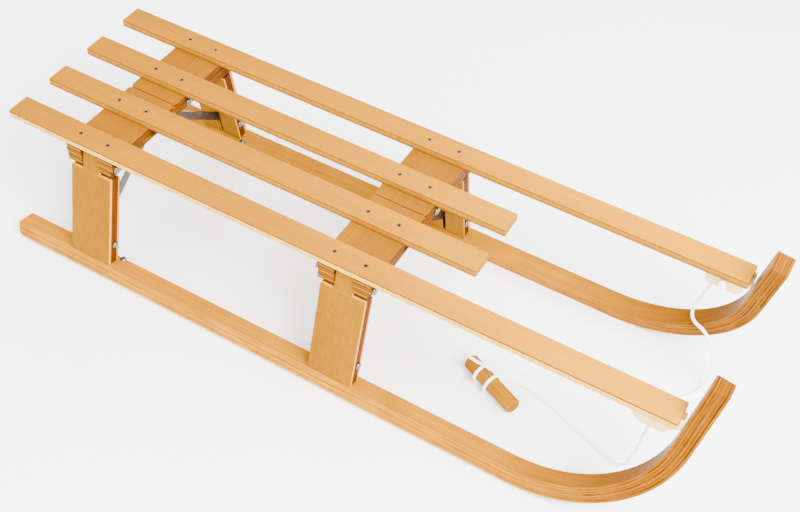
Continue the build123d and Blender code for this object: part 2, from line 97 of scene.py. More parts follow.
# ------------------------------------------------------------------ material helpers
class Mat:
    def __init__(self, name, rough=0.4, metallic=0.0, coat=0.0, coat_rough=0.1, ior=1.5, spec=0.5, tint=None):
        self.m = bpy.data.materials.new(name)
        self.m.use_nodes = True
        self.nt = self.m.node_tree
        self.nt.nodes.clear()
        self.out = self.nt.nodes.new("ShaderNodeOutputMaterial")
        self.b = self.nt.nodes.new("ShaderNodeBsdfPrincipled")
        self.nt.links.new(self.b.outputs[0], self.out.inputs[0])
        self.b.inputs["Roughness"].default_value = rough
        self.b.inputs["Metallic"].default_value = metallic
        self.b.inputs["Coat Weight"].default_value = coat
        self.b.inputs["Coat Roughness"].default_value = coat_rough
        self.b.inputs["IOR"].default_value = ior
        self.b.inputs["Specular IOR Level"].default_value = spec
        if tint:
            self.b.inputs["Specular Tint"].default_value = tint
        tc = self.nt.nodes.new("ShaderNodeTexCoord")
        self.co, self.nor = tc.outputs["Object"], tc.outputs["Normal"]

    def put(self, sock, v):
        if isinstance(v, bpy.types.NodeSocket):
            self.nt.links.new(v, sock)
        else:
            sock.default_value = v

    def math(self, op, a, b=0.0, c=None, clamp=False):
        n = self.nt.nodes.new("ShaderNodeMath")
        n.operation = op
        n.use_clamp = clamp
        self.put(n.inputs[0], a)
        self.put(n.inputs[1], b)
        if c is not None:
            self.put(n.inputs[2], c)
        return n.outputs[0]

    def sep(self, v):
        n = self.nt.nodes.new("ShaderNodeSeparateXYZ")
        self.put(n.inputs[0], v)
        return n.outputs[0], n.outputs[1], n.outputs[2]

    def comb(self, x, y, z):
        n = self.nt.nodes.new("ShaderNodeCombineXYZ")
        self.put(n.inputs[0], x)
        self.put(n.inputs[1], y)
        self.put(n.inputs[2], z)
        return n.outputs[0]

    def mul(self, v, s):
        n = self.nt.nodes.new("ShaderNodeVectorMath")
        n.operation = "MULTIPLY"
        self.put(n.inputs[0], v)
        n.inputs[1].default_value = s
        return n.outputs[0]

    def noise(self, v, scale, detail=3.0, rough=0.55, dist=0.0):
        n = self.nt.nodes.new("ShaderNodeTexNoise")
        n.noise_dimensions = "3D"
        self.put(n.inputs["Vector"], v)
        n.inputs["Scale"].default_value = scale
        n.inputs["Detail"].default_value = detail
        n.inputs["Roughness"].default_value = rough
        n.inputs["Distortion"].default_value = dist
        return n.outputs["Fac"]

    def ramp(self, f, stops, mode="LINEAR"):
        n = self.nt.nodes.new("ShaderNodeValToRGB")
        n.color_ramp.interpolation = mode
        e = n.color_ramp.elements
        while len(e) > 1:
            e.remove(e[-1])
        e[0].position, e[0].color = stops[0][0], stops[0][1]
        for p, c in stops[1:]:
            k = e.new(p)
            k.color = c
        self.put(n.inputs[0], f)
        return n.outputs[0]

    def rng(self, f, a, b, c=0.0, d=1.0):
        n = self.nt.nodes.new("ShaderNodeMapRange")
        n.clamp = True
        self.put(n.inputs["Value"], f)
        for k, v in zip(("From Min", "From Max", "To Min", "To Max"), (a, b, c, d)):
            n.inputs[k].default_value = v
        return n.outputs[0]

    def mix(self, f, a, b, blend="MIX"):
        n = self.nt.nodes.new("ShaderNodeMix")
        n.data_type = "RGBA"
        n.blend_type = blend
        self.put(n.inputs[0], f)
        self.put(n.inputs[6], a)
        self.put(n.inputs[7], b)
        return n.outputs[2]

    def bump(self, h, strength, distance):
        n = self.nt.nodes.new("ShaderNodeBump")
        n.inputs["Strength"].default_value = strength
        n.inputs["Distance"].default_value = distance
        self.put(n.inputs["Height"], h)
        self.nt.links.new(n.outputs[0], self.b.inputs["Normal"])

    def base(self, c):
        self.put(self.b.inputs["Base Color"], c)

    def rough(self, r):
        self.put(self.b.inputs["Roughness"], r)


# colours of varnished birch and beech ply, linear
VARNISH = (1.0, 0.48, 0.10, 1)
HONEY = (0.345, 0.136, 0.000, 1)
HONEY_L = (0.420, 0.168, 0.000, 1)
HONEY_D = (0.280, 0.108, 0.000, 1)
AMBER = (0.170, 0.054, 0.000, 1)
CREAM = (0.860, 0.480, 0.060, 1)
TAN = (0.180, 0.058, 0.001, 1)
BROWN = (0.048, 0.013, 0.001, 1)
DARK = (0.014, 0.005, 0.001, 1)
PALE = (0.680, 0.260, 0.004, 1)
RUST = (0.095, 0.022, 0.001, 1)


def face_grain(w, along, lo, mid, hi, seed=0.0, contrast=1.0):
    """Colour and height of a varnished veneer face; along is the grain axis."""
    s = [70.0, 70.0, 70.0]
    s[along] = 2.2
    v = w.mul(w.co, tuple(s))
    fine = w.noise(v, 4.2, 4.0, 0.6, 0.15)
    s2 = [9.0, 9.0, 9.0]
    s2[along] = 1.3
    off = w.nt.nodes.new("ShaderNodeVectorMath")
    off.operation = "ADD"
    w.put(off.inputs[0], w.mul(w.co, tuple(s2)))
    off.inputs[1].default_value = (seed, seed * 1.7, seed * 0.6)
    broad = w.noise(off.outputs[0], 1.6, 2.0, 0.5, 0.9)
    s3 = [900.0, 900.0, 900.0]
    s3[along] = 110.0
    fleck = w.noise(w.mul(w.co, tuple(s3)), 1.0, 1.0, 0.5)
    f = w.math("ADD", w.math("MULTIPLY", fine, 0.55), w.math("MULTIPLY", broad, 0.45))
    col = w.ramp(f, [(0.5 - 0.22 / contrast, lo), (0.5, mid), (0.5 + 0.22 / contrast, hi)])
    fl = w.rng(fleck, 0.60, 0.72, 0.0, 0.16)
    col = w.mix(fl, col, BROWN)
    return col, fine


def layers(w, t, marks, wob, seed=0.0):
    """Ply edge: t is the depth in metres, marks are (depth mm, colour)."""
    n = w.noise(w.mul(w.co, (14.0, 14.0, 14.0)), 3.0, 2.0, 0.5)
    n2 = w.noise(w.mul(w.co, (160.0, 160.0, 160.0)), 3.0, 2.0, 0.5)
    t2 = w.math("ADD", t, w.math("MULTIPLY", w.math("SUBTRACT", n, 0.5), wob))
    t2 = w.math("ADD", t2, w.math("MULTIPLY", w.math("SUBTRACT", n2, 0.5), wob * 0.35))
    total = marks[-1][0] / 1000
    f = w.math("DIVIDE", t2, total)
    stops = []
    for k, (d, c) in enumerate(marks[:-1]):
        stops.append((max(0.0, d / marks[-1][0]), c))
    return w.ramp(f, stops, "CONSTANT")


def edge_tone(w, col, along):
    s = [220.0, 220.0, 220.0]
    s[along] = 30.0
    n = w.noise(w.mul(w.co, tuple(s)), 3.0, 3.0, 0.6)
    return w.mix(w.rng(n, 0.35, 0.75, 0.0, 0.28), col, BROWN)


# ---- slats: veneer faces, seven-ply edges
def slat_mat(name, seed, tone, marks):
    w = Mat(name, rough=0.40, spec=0.03, ior=1.22, tint=VARNISH)
    lo, mid, hi = tone
    face, h = face_grain(w, 0, lo, mid, hi, seed, 1.0)
    x, y, z = w.sep(w.co)
    depth = w.math("SUBTRACT", 0.235, z)
    ed = layers(w, depth, marks, 0.00022)
    ed = edge_tone(w, ed, 0)
    # painted light: the veneer faces are darkened towards the rear end and lightened towards the front, standing in for
    # the light falling off along the seat
    face = w.mix(w.rng(x, 0.40, -0.45, 0.0, 1.0), w.mix(1.0, face, (1.0, 0.98, 1.0, 1), "MULTIPLY"), w.mix(1.0, face, (0.70, 0.66, 0.70, 1), "MULTIPLY"))
    face = w.mix(w.rng(x, 0.05, 0.50, 0.0, 0.35), face, (0.520, 0.215, 0.004, 1))
    nz = w.math("ABSOLUTE", w.sep(w.nor)[2])
    col = w.mix(w.rng(nz, 0.80, 0.90), ed, face)
    # sanded edge, a little darker where the varnish gathers
    rim = w.rng(nz, 0.55, 0.95, 0.0, 1.0)
    ring = w.math("MULTIPLY", rim, w.math("SUBTRACT", 1.0, rim))
    col = w.mix(w.math("MULTIPLY", ring, 2.2), col, RUST)
    w.base(col)
    r = w.noise(w.mul(w.co, (6.0, 40.0, 40.0)), 2.0, 2.0, 0.5)
    w.rough(w.rng(r, 0.2, 0.8, 0.24, 0.42))
    w.bump(h, 0.18, 0.0004)
    return w.m


# ---- beams and hinge blocks
def beam_mat(name, top, thick, seed, mid_tone=AMBER):
    w = Mat(name, rough=0.40, spec=0.03, ior=1.22, tint=VARNISH)
    face, h = face_grain(w, 1, (0.140, 0.046, 0.000, 1), (0.180, 0.063, 0.000, 1), (0.225, 0.082, 0.000, 1), seed, 0.8)
    x, y, z = w.sep(w.co)
    depth = w.math("SUBTRACT", top, z)
    cols = (AMBER, BROWN, HONEY_D, DARK, TAN, RUST, HONEY_D)
    marks, d, k = [], 0.0, 0
    while d < thick * 1000 - 0.5:
        marks.append((d, cols[k % len(cols)]))
        d += 3.7 if k % 2 == 0 else 1.5
        k += 1
    marks.append((thick * 1000, BROWN))
    ed = layers(w, depth, marks, 0.0006)
    ed = edge_tone(w, ed, 1)
    streak = w.noise(w.mul(w.co, (30.0, 9.0, 700.0)), 1.0, 3.0, 0.6)
    core = w.ramp(streak, [(0.36, DARK), (0.44, BROWN), (0.52, RUST), (0.57, AMBER), (0.63, DARK), (0.72, RUST)])
    ed = w.mix(w.rng(w.math("ABSOLUTE", w.sep(w.nor)[0]), 0.6, 0.8, 0.0, 0.95), ed, core)
    nz = w.math("ABSOLUTE", w.sep(w.nor)[2])
    # shadow line where the two half beams meet
    seam = w.rng(w.math("ABSOLUTE", y), 0.0005, 0.0011, 0.9, 0.0)
    w.base(w.mix(w.rng(nz, 0.75, 0.88), ed, w.mix(seam, face, DARK)))
    w.bump(h, 0.2, 0.0004)
    return w.m


# ---- legs: outer veneers light, core dark
def leg_mat(name, seed):
    w = Mat(name, rough=0.40, spec=0.03, ior=1.22, tint=VARNISH)
    face, h = face_grain(w, 2, (0.150, 0.056, 0.000, 1), (0.200, 0.079, 0.000, 1), (0.250, 0.102, 0.000, 1), seed, 1.0)
    x, y, z = w.sep(w.co)
    ay = w.math("ABSOLUTE", y)
    dep = w.math("ADD", w.math("MULTIPLY", w.math("SUBTRACT", LEG_Y, ay), CL), w.math("MULTIPLY", w.math("SUBTRACT", LEG_Z, z), SL))
    ed = layers(w, dep, [(0.0, HONEY), (0.6, PALE), (5.2, DARK), (6.0, RUST), (9.0, BROWN), (10.0, RUST), (12.6, DARK),
                         (13.4, RUST), (16.2, BROWN), (17.0, RUST), (18.2, DARK), (18.9, PALE), (21.8, BROWN), (22.4, AMBER), (23.0, BROWN)], 0.0006)
    ed = edge_tone(w, ed, 2)
    nx, ny, nz = w.sep(w.nor)
    facing = w.math("ABSOLUTE", w.math("ADD", w.math("MULTIPLY", w.math("ABSOLUTE", ny), CL), w.math("MULTIPLY", w.math("ABSOLUTE", nz), SL)))
    facing = w.math("MULTIPLY", facing, w.rng(w.math("ABSOLUTE", nz), 0.5, 0.75, 1.0, 0.0))
    w.base(w.mix(w.rng(facing, 0.72, 0.88), ed, face))
    w.bump(h, 0.18, 0.0004)
    return w.m


# ---- runners: bent laminate, glue lines follow the bend
def runner_mat(name, seed):
    w = Mat(name, rough=0.40, spec=0.03, ior=1.22, tint=VARNISH)
    x, y, z = w.sep(w.co)
    ay = w.math("ABSOLUTE", y)
    zeta = w.math("ADD", w.math("MULTIPLY", w.math("SUBTRACT", RUN_Y, ay), SL), w.math("MULTIPLY", w.math("SUBTRACT", z, RUN_Z), CL))
    dx = w.math("SUBTRACT", x, RUN_XA)
    dz = w.math("SUBTRACT", zeta, RUN_R)
    rad = w.math("SQRT", w.math("ADD", w.math("MULTIPLY", dx, dx), w.math("MULTIPLY", dz, dz)))
    t_bend = w.math("SUBTRACT", RUN_R, rad)
    a = math.radians(82)
    t_up = w.math("SUBTRACT", RUN_R, w.math("SUBTRACT", w.math("MULTIPLY", dx, math.sin(a)), w.math("MULTIPLY", dz, math.cos(a))))
    in_bend = w.math("GREATER_THAN", dx, 0.0)
    along_up = w.math("ADD", w.math("MULTIPLY", dx, math.cos(a)), w.math("MULTIPLY", dz, math.sin(a)))
    in_up = w.math("MULTIPLY", w.math("GREATER_THAN", along_up, 0.0), in_bend)

    def pick(f, p, q):
        return w.math("ADD", w.math("MULTIPLY", p, w.math("SUBTRACT", 1.0, f)), w.math("MULTIPLY", q, f))
    t = pick(in_up, pick(in_bend, zeta, t_bend), t_up)
    # distance along the runner, for grain that follows the bend
    ang = w.math("ARCTAN2", dx, w.math("MULTIPLY", dz, -1.0))
    s_bend = w.math("MULTIPLY", ang, RUN_R)
    s_up = w.math("ADD", a * RUN_R, along_up)
    s = pick(in_up, pick(in_bend, dx, s_bend), s_up)
    v = w.comb(w.math("MULTIPLY", s, 2.4), w.math("MULTIPLY", ay, 60.0), w.math("MULTIPLY", t, 260.0))
    fine = w.noise(v, 3.0, 4.0, 0.62, 0.25)
    v2 = w.comb(w.math("MULTIPLY", s, 9.0), w.math("ADD", w.math("MULTIPLY", ay, 6.0), seed), w.math("MULTIPLY", t, 20.0))
    broad = w.noise(v2, 1.5, 3.0, 0.55, 0.6)
    f = w.math("ADD", w.math("MULTIPLY", fine, 0.6), w.math("MULTIPLY", broad, 0.4))
    side = w.ramp(f, [(0.30, (0.270, 0.094, 0.000, 1)), (0.5, (0.430, 0.165, 0.000, 1)), (0.70, (0.620, 0.262, 0.004, 1))])
    # glue lines wander along the length and break in places
    wn = w.noise(w.comb(w.math("MULTIPLY", s, 16.0), seed, 0.0), 1.0, 4.0, 0.6)
    wn2 = w.noise(w.comb(w.math("MULTIPLY", s, 170.0), seed * 2.0, 0.0), 1.0, 2.0, 0.5)
    tt = w.math("ADD", t, w.math("MULTIPLY", w.math("SUBTRACT", wn, 0.5), 0.0022))
    tt = w.math("ADD", tt, w.math("MULTIPLY", w.math("SUBTRACT", wn2, 0.5), 0.0008))
    brk = w.noise(w.comb(w.math("MULTIPLY", s, 26.0), seed, w.math("MULTIPLY", t, 120.0)), 1.0, 3.0, 0.6)
    line = None
    for d, wd, k in ((4.4, 1.15, 1.0), (8.9, 0.80, 0.8), (13.6, 1.35, 1.0), (17.8, 0.85, 0.8), (21.9, 1.10, 0.95)):
        one = w.math("ABSOLUTE", w.math("SUBTRACT", tt, d / 1000))
        one = w.rng(one, wd / 2500, wd / 1000, k, 0.0)
        line = one if line is None else w.math("MAXIMUM", line, one)
    line = w.math("MULTIPLY", line, w.rng(brk, 0.34, 0.58, 0.22, 1.0))
    # plies differ a little in tone
    ply = w.ramp(w.math("DIVIDE", tt, RUN_T), [(0.0, (1, 1, 1, 1)), (0.17, (0.80, 0.74, 0.66, 1)), (0.35, (1, 1, 1, 1)),
                                              (0.53, (0.84, 0.78, 0.70, 1)), (0.70, (1, 1, 1, 1)), (0.86, (0.88, 0.82, 0.75, 1))], "CONSTANT")
    side = w.mix(0.8, side, ply, "MULTIPLY")
    side = w.mix(w.math("MULTIPLY", line, 0.88), side, BROWN)
    # dark soaked-in patches in the bend, as on steamed wood
    soak = w.noise(w.comb(w.math("MULTIPLY", s, 30.0), w.math("ADD", w.math("MULTIPLY", ay, 20.0), seed), w.math("MULTIPLY", t, 150.0)), 1.0, 4.0, 0.65, 0.4)
    side = w.mix(w.rng(soak, 0.60, 0.78, 0.0, 0.55), side, BROWN)
    top = w.ramp(f, [(0.28, (0.220, 0.078, 0.000, 1)), (0.5, (0.300, 0.112, 0.000, 1)), (0.72, (0.390, 0.150, 0.000, 1))])
    nx, ny, nz = w.sep(w.nor)
    sidew = w.math("ADD", w.math("MULTIPLY", w.math("ABSOLUTE", ny), CL), w.math("MULTIPLY", w.math("MULTIPLY", nz, w.math("SIGN", z)), 0.0))
    sidef = w.rng(w.math("ABSOLUTE", ny), 0.62, 0.80)
    endf = w.math("MULTIPLY", w.math("GREATER_THAN", along_up, 0.104), in_bend)
    lay = w.math("MAXIMUM", sidef, w.math("MULTIPLY", endf, 1.0))
    rear = w.math("LESS_THAN", w.math("ADD", x, -(X0 + 0.006)), 0.0)
    lay = w.math("MAXIMUM", lay, rear)
    col = w.mix(lay, top, side)
    # warmer and darker through the bend: partly painted shade of the bend, partly a darker tone of the bent laminate
    warm = w.rng(dx, -0.10, 0.16, 0.0, 1.0)
    col = w.mix(warm, col, w.mix(1.0, col, (0.42, 0.37, 0.40, 1), "MULTIPLY"))
    w.base(col)
    w.rough(w.rng(broad, 0.2, 0.8, 0.24, 0.44))
    hgt = w.math("SUBTRACT", w.math("MULTIPLY", fine, 0.3), w.math("MULTIPLY", w.math("MULTIPLY", line, lay), 0.7))
    w.bump(hgt, 0.45, 0.0006)
    return w.m


def handle_mat():
    w = Mat("wood_handle", rough=0.44, spec=0.03, ior=1.22, tint=VARNISH)
    d, n = (0.9111, -0.4122), (0.4122, 0.9111)
    x, y, z = w.sep(w.co)
    s = w.math("ADD", w.math("MULTIPLY", x, d[0]), w.math("MULTIPLY", y, d[1]))
    q = w.math("ADD", w.math("MULTIPLY", x, n[0]), w.math("MULTIPLY", y, n[1]))
    v = w.comb(w.math("MULTIPLY", s, 5.0), w.math("MULTIPLY", q, 150.0), w.math("MULTIPLY", z, 150.0))
    f = w.noise(v, 2.2, 4.0, 0.6, 0.3)
    b = w.noise(w.comb(w.math("MULTIPLY", s, 22.0), w.math("MULTIPLY", q, 40.0), w.math("MULTIPLY", z, 40.0)), 1.0, 2.0)
    col = w.ramp(w.math("ADD", w.math("MULTIPLY", f, 0.6), w.math("MULTIPLY", b, 0.4)),
                 [(0.3, (0.140, 0.048, 0.000, 1)), (0.5, (0.250, 0.096, 0.000, 1)), (0.7, (0.370, 0.152, 0.002, 1))])
    endg = w.math("ABSOLUTE", w.math("ADD", w.math("MULTIPLY", w.sep(w.nor)[0], d[0]), w.math("MULTIPLY", w.sep(w.nor)[1], d[1])))
    rr = w.math("SQRT", w.math("ADD", w.math("POWER", w.math("SUBTRACT", z, 0.0172), 2.0), w.math("POWER", w.math("ADD", q, -(0.1907 * n[0] - 0.0411 * n[1])), 2.0)))
    rings = w.math("SINE", w.math("MULTIPLY", rr, 5200.0))
    col = w.mix(w.math("MULTIPLY", w.rng(endg, 0.6, 0.9), w.rng(rings, -1.0, 1.0, 0.15, 0.5)), col, BROWN)
    w.base(col)
    w.bump(f, 0.2, 0.0003)
    return w.m


def steel_mat(name, c1, c2, rough, scale=90.0, brushed=None, recess_shade_z=None):
    w = Mat(name, rough=rough, metallic=1.0)
    n = w.noise(w.mul(w.co, (scale, scale, scale)), 3.0, 3.0, 0.6)
    sp = w.noise(w.mul(w.co, (900.0, 900.0, 900.0)), 1.0, 2.0)
    col = w.mix(w.rng(n, 0.3, 0.7), c1, c2)
    # painted shade: the cross recess is coloured near-black below its rim
    if recess_shade_z:
        col = w.mix(w.rng(w.sep(w.co)[2], recess_shade_z - 0.0005, recess_shade_z - 0.00015), (0.020, 0.006, 0.004, 1), col)
    w.base(col)
    w.rough(w.rng(sp, 0.3, 0.7, rough - 0.07, rough + 0.12))
    h = sp
    if brushed:
        h = w.noise(w.mul(w.co, brushed), 3.0, 2.0)
    w.bump(h, 0.15, 0.0002)
    return w.m


def plastic_mat():
    w = Mat("plastic_cream", rough=0.38)
    w.b.inputs["Subsurface Weight"].default_value = 0.25
    w.b.inputs["Subsurface Radius"].default_value = (0.006, 0.005, 0.003)
    w.b.inputs["Subsurface Scale"].default_value = 0.6
    n = w.noise(w.mul(w.co, (60.0, 60.0, 60.0)), 2.0, 2.0)
    g = w.noise(w.mul(w.co, (2500.0, 2500.0, 2500.0)), 1.0, 1.0)
    w.base(w.mix(w.rng(n, 0.3, 0.7), (0.660, 0.420, 0.120, 1), (0.780, 0.520, 0.170, 1)))
    w.rough(w.rng(g, 0.3, 0.7, 0.32, 0.46))
    w.bump(g, 0.12, 0.00015)
    return w.m


def rope_mat():
    w = Mat("rope_white", rough=0.72)
    w.b.inputs["Sheen Weight"].default_value = 0.25
    w.b.inputs["Sheen Roughness"].default_value = 0.5
    n = w.noise(w.mul(w.co, (1400.0, 1400.0, 1400.0)), 1.0, 3.0, 0.6)
    n2 = w.noise(w.mul(w.co, (45.0, 45.0, 45.0)), 1.0, 2.0)
    w.base(w.mix(w.rng(n, 0.35, 0.65, 0.0, 0.35), w.mix(w.rng(n2, 0.3, 0.7), srgb(244, 243, 238), srgb(252, 251, 247)), srgb(206, 203, 196)))
    w.bump(n, 0.35, 0.0003)
    return w.m


GREY = (0.110, 0.062, 0.020, 1)
# the nearest slat gets the pale plies and the other three the warmer ones: partly a real difference in the veneers,
# partly painted light on the better-lit near edge
PLY_PALE = [(0.0, HONEY_L), (0.8, BROWN), (2.7, CREAM), (4.7, GREY), (5.5, CREAM), (7.5, GREY), (8.3, CREAM),
            (10.2, GREY), (10.7, TAN), (11.0, TAN)]
PLY_WARM = [(0.0, HONEY_D), (0.8, BROWN), (1.7, HONEY_L), (3.6, TAN), (4.3, HONEY_L), (6.2, BROWN), (6.9, HONEY), (8.6, AMBER),
            (10.4, BROWN), (11.0, BROWN)]
SLAT = {}
for k, name in enumerate(("slat_outer_right", "slat_inner_right", "slat_inner_left", "slat_outer_left")):
    SLAT[name] = slat_mat(f"wood_{name}", 3.1 * k + 1.3, (HONEY_D, HONEY, HONEY_L), PLY_PALE if k == 0 else PLY_WARM)
STEEL = steel_mat("steel_zinc", (0.105, 0.102, 0.098, 1), (0.185, 0.182, 0.176, 1), 0.26)
STRIP = steel_mat("steel_strip", (0.085, 0.079, 0.070, 1), (0.150, 0.142, 0.130, 1), 0.34, 40.0, (300.0, 30.0, 30.0))
SCREW = steel_mat("steel_screw", (0.120, 0.055, 0.030, 1), (0.210, 0.110, 0.070, 1), 0.34, recess_shade_z=0.2347)
PLASTIC, ROPE, HANDLE = plastic_mat(), rope_mat(), handle_mat()
BEAMS = {e: beam_mat(f"wood_beam_{e}", 0.224, 0.022, s) for e, s in (("rear", 2.0), ("front", 9.0))}
BLOCKS = beam_mat("wood_hinge_block", 0.202, 0.014, 5.0)
LEGS = {n: leg_mat(f"wood_{n}", 2.7 * k) for k, n in enumerate(("leg_rear_right", "leg_rear_left", "leg_front_right", "leg_front_left"))}
RUNNERS = {"runner_right": runner_mat("wood_runner_right", 1.7), "runner_left": runner_mat("wood_runner_left", 8.3)}


def cad(name, mat, bevel=0.0, seg=2, angle=35):
    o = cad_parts[name]
    if not o.material_slots:
        o.data.materials.append(mat)
    for s in o.material_slots:
        s.material = mat
    if bevel:
        we = o.modifiers.new("weld", "WELD")
        we.merge_threshold = 0.00001
        b = o.modifiers.new("bevel", "BEVEL")
        b.width = bevel
        b.segments = seg
        b.limit_method = "ANGLE"
        b.angle_limit = math.radians(angle)
        b.harden_normals = False


for n, mt in SLAT.items():
    cad(n, mt)
for n, mt in RUNNERS.items():
    cad(n, mt)
for n, mt in LEGS.items():
    cad(n, mt)
for e in ("rear", "front"):
    for s in ("right", "left"):
        cad(f"beam_{e}_{s}", BEAMS[e])
        cad(f"hinge_block_{e}_{s}", BLOCKS)
        for b in ("hinge_bolt", "anchor_bolt", "foot_bolt", "stay_bolt"):
            cad(f"{b}_{e}_{s}", STEEL)
        cad(f"stay_{e}_{s}", STRIP)
for s in ("right", "left"):
    cad(f"clip_{s}", PLASTIC)
cad("tow_handle", HANDLE)


# ------------------------------------------------------------------ mesh helpers
def new_obj(name, bm, mat, smooth=True):
    me = bpy.data.meshes.new(name)
    bm.normal_update()
    bm.to_mesh(me)
    bm.free()
    me.materials.append(mat)
    if smooth:
        for p in me.polygons:
            p.use_smooth = True
    o = bpy.data.objects.new(name, me)
    scene.collection.objects.link(o)
    return o


def spline_points(route, res=14):
    """Points of the smooth NURBS line that has the route as its control points."""
    cu = bpy.data.curves.new("route", "CURVE")
    cu.dimensions = "3D"
    sp = cu.splines.new("NURBS")
    sp.points.add(len(route) - 1)
    for p, q in zip(sp.points, route):
        p.co = (*q, 1.0)
    sp.order_u = 3
    sp.use_endpoint_u = True
    sp.resolution_u = res
    o = bpy.data.objects.new("route", cu)
    scene.collection.objects.link(o)
    dg = bpy.context.evaluated_depsgraph_get()
    me = bpy.data.meshes.new_from_object(o.evaluated_get(dg))
    pts = [v.co.copy() for v in me.vertices]
    bpy.data.meshes.remove(me)
    bpy.data.objects.remove(o)
    bpy.data.curves.remove(cu)
    out = [pts[0]]
    for p in pts[1:]:
        if (p - out[-1]).length > 1e-5:
            out.append(p)
    return out


def rope_mesh(bm, pts, radius=0.0025, ring=20, lobes=3, lay=0.016, depth=0.16, cap=(True, True)):
    """Laid rope along pts: a section of round strands that turns as it goes."""
    n = len(pts)
    tang = []
    for i in range(n):
        a, b = pts[max(i - 1, 0)], pts[min(i + 1, n - 1)]
        tang.append((b - a).normalized())
    up = Vector((0, 0, 1)) if abs(tang[0].z) < 0.9 else Vector((1, 0, 0))
    u = (up - tang[0] * up.dot(tang[0])).normalized()
    s, rings = 0.0, []
    for i in range(n):
        if i:
            s += (pts[i] - pts[i - 1]).length
            u = (u - tang[i] * u.dot(tang[i])).normalized()
        w = tang[i].cross(u)
        row = []
        for k in range(ring):
            th = 2 * math.pi * k / ring
            g = abs(math.sin(lobes / 2 * (th + 2 * math.pi * s / lay)))
            r = radius * (1 - depth + depth * math.sqrt(g))
            row.append(bm.verts.new(pts[i] + (u * math.cos(th) + w * math.sin(th)) * r))
        rings.append(row)
    for i in range(n - 1):
        for k in range(ring):
            bm.faces.new((rings[i][k], rings[i][(k + 1) % ring], rings[i + 1][(k + 1) % ring], rings[i + 1][k]))
    for flag, row, t, p in ((cap[0], rings[0], -tang[0], pts[0]), (cap[1], rings[-1], tang[-1], pts[-1])):
        if flag:
            v = bm.verts.new(p + t * radius * 0.35)
            for k in range(ring):
                f = (row[k], v, row[(k + 1) % ring]) if row is rings[-1] else (row[(k + 1) % ring], v, row[k])
                bm.faces.new(f[::-1])
    return s


def resample(pts, step):
    out, need = [pts[0].copy()], step
    for a, b in zip(pts, pts[1:]):
        d = (b - a).length
        pos = 0.0
        while d - pos >= need:
            pos += need
            out.append(a.lerp(b, pos / d))
            need = step
        need -= d - pos
    if (out[-1] - pts[-1]).length > step * 0.3:
        out.append(pts[-1].copy())
    else:
        out[-1] = pts[-1].copy()
    return out


def length_of(pts):
    return sum((b - a).length for a, b in zip(pts, pts[1:]))


# ------------------------------------------------------------------ tow rope
HA = Vector((0.1907, -0.0411, 0.0172))
HD = Vector((0.9111, -0.4122, 0.0))
HN = Vector((0.4122, 0.9111, 0.0))
W1, W2 = 0.028, 0.049
r1 = HA + HD * W1 + HN * 0.0128
r2 = HA + HD * W2 + HN * 0.0128
G = 0.0026
LEFT = [(0.4768, 0.1460, 0.2120), (0.4768, 0.1575, 0.2106), (0.4755, 0.1672, 0.2022), (0.4705, 0.1746, 0.1870), (0.4640, 0.1788, 0.1650),
        (0.4570, 0.1803, 0.1410), (0.4510, 0.1780, 0.1180),
        (0.4451, 0.16705, 0.0928), (0.4485, 0.1580, 0.0860), (0.4540, 0.1485, 0.0865), (0.4625, 0.1405, 0.0900),
        (0.4730, 0.1355, 0.0905), (0.4840, 0.1323, 0.0825), (0.4945, 0.1298, 0.0675), (0.5028, 0.1260, 0.0495), (0.5073, 0.1195, 0.0305),
        (0.5065, 0.1090, 0.0140), (0.5005, 0.0960, 0.0048), (0.4895, 0.0810, G + 0.0002), (0.4740, 0.0660, G),
        (0.4535, 0.0530, G), (0.4280, 0.0425, G), (0.3980, 0.0340, G), (0.3640, 0.0255, G), (0.3290, 0.0145, G),
        (0.2955, 0.0, G), (0.2650, -0.0110, G), (0.2410, -0.0185, G), (0.2275, -0.0285, G), (r1.x, r1.y, G)]
RIGHT = [(r2.x, r2.y, G), (0.2465, -0.0405, G), (0.2565, -0.0330, G), (0.2710, -0.0300, G),
         (0.2910, -0.0320, G), (0.3160, -0.0385, G), (0.3460, -0.0485, G), (0.3790, -0.0605, G),
         (0.4110, -0.0725, G), (0.4360, -0.0815, G + 0.0006), (0.4525, -0.0870, 0.0100), (0.4605, -0.0898, 0.0260),
         (0.4640, -0.0913, 0.0500), (0.4665, -0.0924, 0.0800), (0.4687, -0.0934, 0.1120), (0.4708, -0.0946, 0.1440), (0.4726, -0.0959, 0.1690),
         (0.4740, -0.0976, 0.1860), (0.4754, -0.1008, 0.2008), (0.4763, -0.1092, 0.2102), (0.4768, -0.1210, 0.2120)]
left_line = resample(spline_points(LEFT), 0.0011)
right_line = resample(spline_points(RIGHT), 0.0011)
bm = bmesh.new()
rope_mesh(bm, left_line)
rope_left = new_obj("rope_left", bm, ROPE)
bm = bmesh.new()
rope_mesh(bm, right_line)
rope_right = new_obj("rope_right_run", bm, ROPE)
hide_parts("rope_left_upper", "rope_left_lower")
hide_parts("rope_right")
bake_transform(rope_left)
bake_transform(rope_right)


def wrap(s_mm, deg, rr):
    a = math.radians(deg)          # 0 is the +n side, 90 the top
    return HA + HD * s_mm / 1000 + HN * (rr * math.cos(a)) + Vector((0, 0, rr * math.sin(a)))


